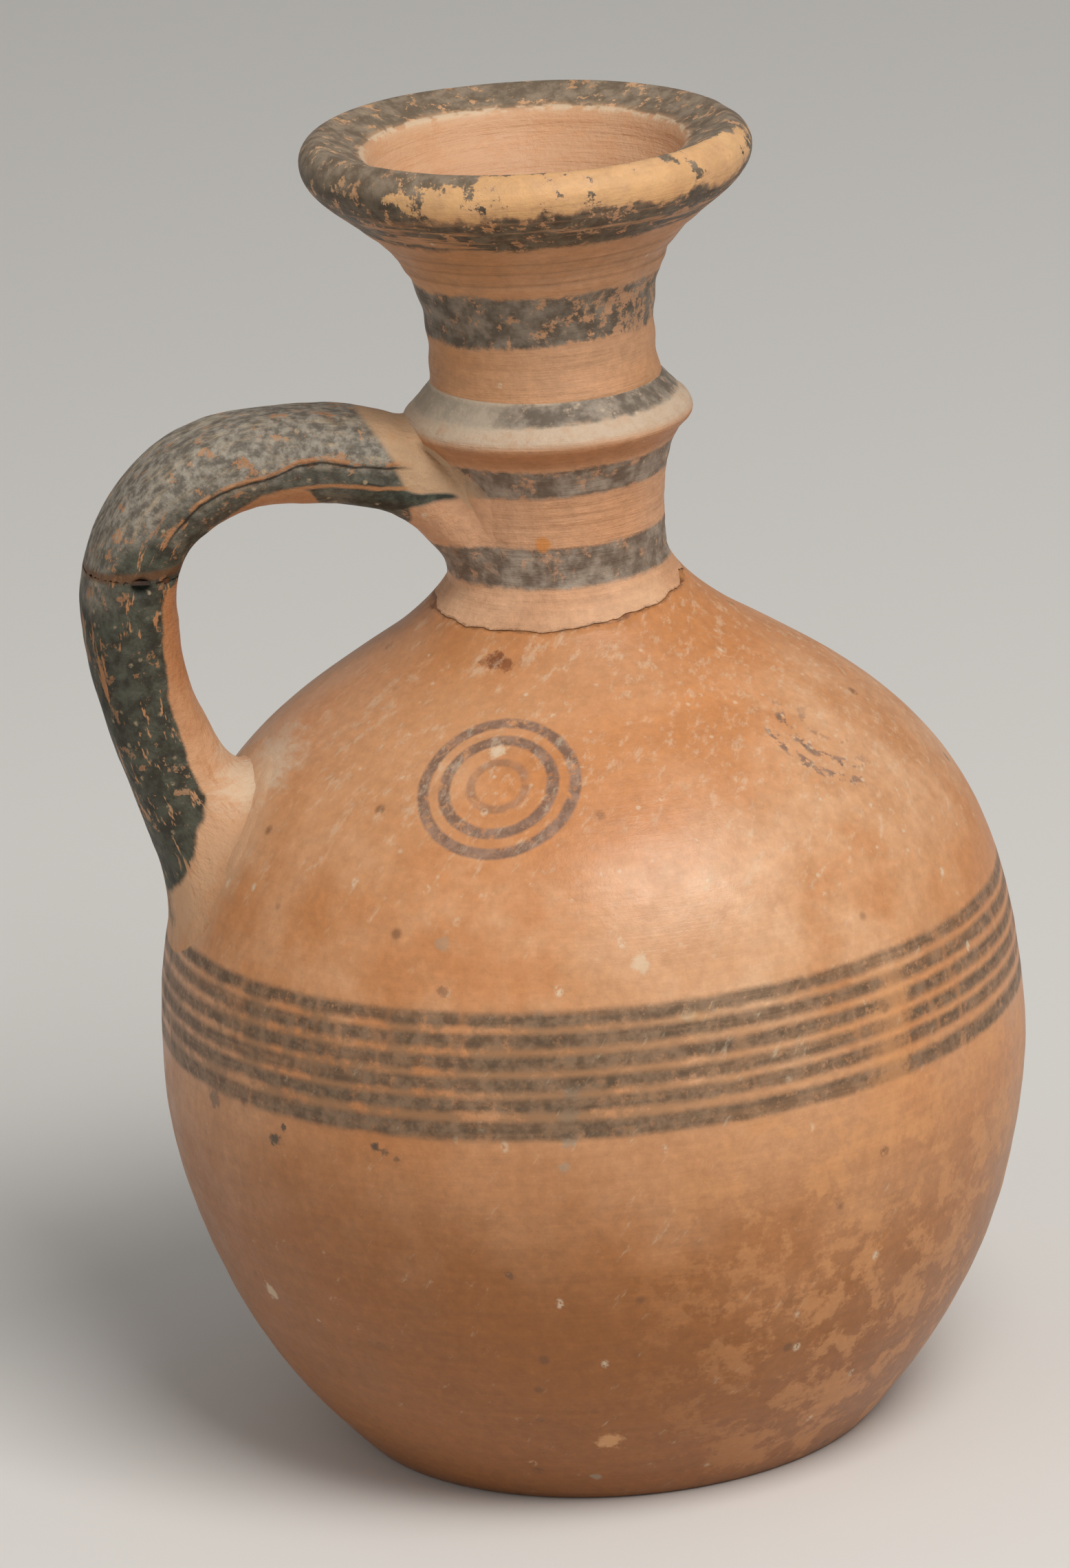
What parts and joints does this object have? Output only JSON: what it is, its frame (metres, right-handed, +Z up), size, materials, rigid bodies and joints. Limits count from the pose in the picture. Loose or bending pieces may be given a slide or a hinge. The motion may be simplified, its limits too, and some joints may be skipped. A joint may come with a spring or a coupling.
{
  "type": "juglet",
  "caption": "Small wheel-thrown pottery juglet with an egg-shaped body, collared neck, flared lip and one strap handle, painted with dark bands and rings.",
  "frame": {"origin": "centre of the flat base, on the surface that the juglet stands on", "axes": "+Z up along the vessel's axis, the handle towards -X"},
  "size_m": [0.0611, 0.0582, 0.0894],
  "materials": {
    "painted_clay": "burnished orange clay with dark matt paint bands",
    "handle_paint": "worn dark matt paint over orange clay",
    "bare_clay": "bare pale clay, matt",
    "glue": "aged brown glue"
  },
  "bodies": {
    "root": {"body": "painted_clay", "neck": "painted_clay", "mouth": "painted_clay", "handle_upper": "handle_paint", "handle_lower": "handle_paint", "collar_root_clay": "bare_clay", "shoulder_root_clay": "bare_clay", "neck_glue": "glue", "handle_glue": "glue"}
  },
  "joints": []
}
